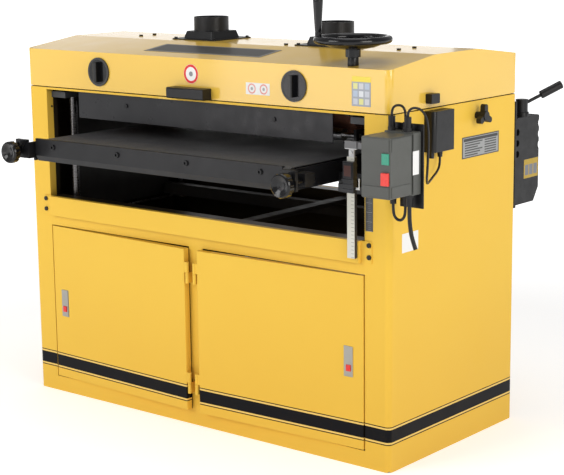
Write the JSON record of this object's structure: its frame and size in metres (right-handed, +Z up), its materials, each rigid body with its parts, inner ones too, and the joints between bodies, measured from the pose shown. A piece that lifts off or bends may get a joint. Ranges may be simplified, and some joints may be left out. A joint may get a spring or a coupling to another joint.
{
  "type": "dual-drum thicknessing sander",
  "caption": "Cabinet thicknessing sander: powered feed belt under two abrasive drums, lifting table with handwheel, hinged hood, dust spigots, starter box.",
  "frame": {"origin": "centre of the cabinet's rectangular footprint, on the floor", "axes": "+Z up; +X to the right seen from the infeed side, along the cabinet width; +Y from infeed to outfeed"},
  "size_m": [1.468, 1.0807, 1.255],
  "materials": {
    "yellow_enamel": "gloss",
    "dark_steel": "satin",
    "grey_steel": "satin",
    "frame_paint": "satin",
    "bright_steel": "brushed",
    "cast_grey": "machined",
    "belt_rubber": "matte",
    "lead_rubber": "satin",
    "black_plastic": "satin",
    "gloss_black": "gloss",
    "starter_grey": "satin",
    "bezel_grey": "satin",
    "green_plastic": "gloss",
    "red_plastic": "gloss",
    "label_white": "matte",
    "readout_cream": "satin",
    "abrasive": "grit"
  },
  "bodies": {
    "cabinet": {"left_side_panel": "yellow_enamel", "right_side_panel": "yellow_enamel", "front_panel": "yellow_enamel", "rear_panel": "yellow_enamel", "throat_rails": "yellow_enamel", "inner_frame": "frame_paint", "drum_guards": "grey_steel", "bearing_blocks": "cast_grey", "lift_chain": "bright_steel", "main_motor": "frame_paint", "drive_belts": "lead_rubber", "switch_plate": "dark_steel", "switch_base": "starter_grey", "switch_cover": "starter_grey", "control_box": "dark_steel", "cable_glands": "black_plastic", "readout_beam": "readout_cream", "side_plates": "label_white", "cabinet_fasteners": "dark_steel", "power_cord": "lead_rubber", "top_lead_loop": "lead_rubber", "bottom_lead_loop": "lead_rubber", "control_lead": "lead_rubber"},
    "left_door": {"left_door": "yellow_enamel"},
    "right_door": {"right_door": "yellow_enamel"},
    "left_latch_button": {"left_latch_button": "red_plastic"},
    "right_latch_button": {"right_latch_button": "red_plastic"},
    "hood": {"hood_shell": "yellow_enamel", "hood_fittings": "black_plastic", "dust_ports": "black_plastic", "latch_bezels": "bezel_grey", "hood_labels": "label_white"},
    "left_hood_latch": {"left_hood_latch": "gloss_black"},
    "right_hood_latch": {"right_hood_latch": "gloss_black"},
    "handwheel": {"handwheel": "gloss_black"},
    "handwheel_grip": {"handwheel_grip": "gloss_black"},
    "lift_screw_front_left": {"lift_screw_front_left": "bright_steel"},
    "lift_screw_front_right": {"lift_screw_front_right": "bright_steel"},
    "lift_screw_rear_left": {"lift_screw_rear_left": "bright_steel"},
    "lift_screw_rear_right": {"lift_screw_rear_right": "bright_steel"},
    "motor_pulley": {"motor_pulley": "cast_grey"},
    "front_drum": {"front_drum": "abrasive"},
    "rear_drum": {"rear_drum": "abrasive"},
    "table": {"table_frame": "dark_steel", "conveyor_belt": "belt_rubber", "end_bars": "dark_steel", "feed_gearbox": "black_plastic", "readout_head": "dark_steel"},
    "take_up": {"take_up_blocks": "cast_grey"},
    "idler_roller": {"idler_roller": "bright_steel"},
    "drive_roller": {"drive_roller": "bright_steel"},
    "left_tension_knob": {"left_tension_knob": "gloss_black"},
    "right_tension_knob": {"right_tension_knob": "gloss_black"},
    "speed_lever": {"speed_lever": "black_plastic"},
    "pressure_frame": {"pressure_frame": "dark_steel"},
    "front_pressure_roller": {"front_pressure_roller": "bright_steel"},
    "rear_pressure_roller": {"rear_pressure_roller": "bright_steel"},
    "start_button": {"start_button": "green_plastic"},
    "stop_button": {"stop_button": "red_plastic"},
    "side_knob": {"side_knob": "black_plastic"}
  },
  "joints": [
    {"name": "left_door_hinge", "type": "hinge", "parent": "cabinet", "child": "left_door", "pos_m": [-0.014, -0.333, 0.29], "axis": [0, 0, 1], "range_deg": [0, 88]},
    {"name": "right_door_hinge", "type": "hinge", "parent": "cabinet", "child": "right_door", "pos_m": [0.014, -0.333, 0.29], "axis": [0, 0, -1], "range_deg": [0, 88]},
    {"name": "left_latch_push", "type": "slide", "parent": "left_door", "child": "left_latch_button", "axis": [0.0401, 0.9992, 0], "range_m": [0, 0.003], "stiffness_N_per_m": 800, "springref_m": -0.002},
    {"name": "right_latch_push", "type": "slide", "parent": "right_door", "child": "right_latch_button", "axis": [-0.0401, 0.9992, 0], "range_m": [0, 0.003], "stiffness_N_per_m": 800, "springref_m": -0.002},
    {"name": "hood_hinge", "type": "hinge", "parent": "cabinet", "child": "hood", "pos_m": [0, 0.316, 0.9585], "axis": [-1, 0, 0], "range_deg": [0, 55]},
    {"name": "left_hood_latch_turn", "type": "hinge", "parent": "hood", "child": "left_hood_latch", "pos_m": [-0.369, -0.31, 1.015], "axis": [0, -1, 0], "range_deg": [0, 90]},
    {"name": "right_hood_latch_turn", "type": "hinge", "parent": "hood", "child": "right_hood_latch", "pos_m": [0.369, -0.31, 1.015], "axis": [0, -1, 0], "range_deg": [0, 90]},
    {"name": "table_lift", "type": "slide", "parent": "cabinet", "child": "table", "axis": [0, 0, 1], "range_m": [-0.085, 0.036]},
    {"name": "lift_screw_front_left_turn", "type": "hinge", "parent": "cabinet", "child": "lift_screw_front_left", "pos_m": [-0.56, -0.239, 0.75], "axis": [0, 0, -1], "range_deg": [-6122, 2593]},
    {"name": "lift_screw_rear_left_turn", "type": "hinge", "parent": "cabinet", "child": "lift_screw_rear_left", "pos_m": [-0.56, 0.239, 0.75], "axis": [0, 0, -1], "range_deg": [-6122, 2593]},
    {"name": "lift_screw_front_right_turn", "type": "hinge", "parent": "cabinet", "child": "lift_screw_front_right", "pos_m": [0.56, -0.239, 0.75], "axis": [0, 0, -1], "range_deg": [-6122, 2593]},
    {"name": "lift_screw_rear_right_turn", "type": "hinge", "parent": "cabinet", "child": "lift_screw_rear_right", "pos_m": [0.56, 0.239, 0.75], "axis": [0, 0, -1], "range_deg": [-6122, 2593]},
    {"name": "handwheel_turn", "type": "hinge", "parent": "hood", "child": "handwheel", "pos_m": [0.5415, -0.28002, 1.05], "axis": [0, 0, -1], "range_deg": [-3241, 7652]},
    {"name": "grip_spin", "type": "hinge", "parent": "handwheel", "child": "handwheel_grip", "pos_m": [0.47156, -0.33666, 1.2], "axis": [0, 0, 1], "continuous": true},
    {"name": "rear_drum_spin", "type": "hinge", "parent": "cabinet", "child": "rear_drum", "pos_m": [0, 0.11, 0.941], "axis": [-1, 0, 0], "continuous": true},
    {"name": "front_drum_spin", "type": "hinge", "parent": "cabinet", "child": "front_drum", "pos_m": [0, -0.11, 0.941], "axis": [-1, 0, 0], "continuous": true},
    {"name": "motor_spin", "type": "hinge", "parent": "cabinet", "child": "motor_pulley", "pos_m": [0, 0, 0.24], "axis": [-1, 0, 0], "continuous": true},
    {"name": "take_up_slide", "type": "slide", "parent": "table", "child": "take_up", "axis": [0, 1, 0], "range_m": [0, 0.005]},
    {"name": "idler_spin", "type": "hinge", "parent": "take_up", "child": "idler_roller", "pos_m": [0, -0.44, 0.795], "axis": [-1, 0, 0], "continuous": true},
    {"name": "drive_roller_spin", "type": "hinge", "parent": "table", "child": "drive_roller", "pos_m": [0, 0.44, 0.795], "axis": [-1, 0, 0], "continuous": true},
    {"name": "left_tension_knob_turn", "type": "hinge", "parent": "table", "child": "left_tension_knob", "pos_m": [-0.5115, -0.53, 0.792], "axis": [0, -1, 0], "range_deg": [-1, 1030]},
    {"name": "right_tension_knob_turn", "type": "hinge", "parent": "table", "child": "right_tension_knob", "pos_m": [0.5115, -0.53, 0.792], "axis": [0, -1, 0], "range_deg": [-1, 1030]},
    {"name": "speed_lever_swing", "type": "hinge", "parent": "table", "child": "speed_lever", "pos_m": [0.62, 0.437, 0.9], "axis": [0, 0, 1], "range_deg": [-30, 30]},
    {"name": "pressure_lift", "type": "slide", "parent": "cabinet", "child": "pressure_frame", "axis": [0, 0, 1], "range_m": [0, 0.003], "stiffness_N_per_m": 20000, "springref_m": -0.004},
    {"name": "front_pressure_spin", "type": "hinge", "parent": "pressure_frame", "child": "front_pressure_roller", "pos_m": [0, -0.203, 0.88], "axis": [1, 0, 0], "continuous": true},
    {"name": "rear_pressure_spin", "type": "hinge", "parent": "pressure_frame", "child": "rear_pressure_roller", "pos_m": [0, 0.203, 0.88], "axis": [1, 0, 0], "continuous": true},
    {"name": "start_push", "type": "slide", "parent": "cabinet", "child": "start_button", "axis": [0, 1, 0], "range_m": [0, 0.003], "stiffness_N_per_m": 600, "springref_m": -0.002},
    {"name": "stop_push", "type": "slide", "parent": "cabinet", "child": "stop_button", "axis": [0, 1, 0], "range_m": [0, 0.003], "stiffness_N_per_m": 600, "springref_m": -0.002},
    {"name": "side_knob_turn", "type": "hinge", "parent": "cabinet", "child": "side_knob", "pos_m": [0.7, 0.098, 0.917], "axis": [1, 0, 0], "range_deg": [0, 180]}
  ],
  "couplings": [
    {"joint": "lift_screw_front_left_turn", "follows": "table_lift", "rad_per_m": 1256.6},
    {"joint": "lift_screw_rear_left_turn", "follows": "table_lift", "rad_per_m": 1256.6},
    {"joint": "lift_screw_front_right_turn", "follows": "table_lift", "rad_per_m": 1256.6},
    {"joint": "lift_screw_rear_right_turn", "follows": "table_lift", "rad_per_m": 1256.6},
    {"joint": "handwheel_turn", "follows": "table_lift", "rad_per_m": -1570.8},
    {"joint": "front_drum_spin", "follows": "rear_drum_spin", "ratio": 1},
    {"joint": "motor_spin", "follows": "rear_drum_spin", "ratio": 0.81584},
    {"joint": "left_tension_knob_turn", "follows": "take_up_slide", "rad_per_m": 3590.4},
    {"joint": "right_tension_knob_turn", "follows": "take_up_slide", "rad_per_m": 3590.4},
    {"joint": "idler_spin", "follows": "drive_roller_spin", "ratio": 1}
  ]
}
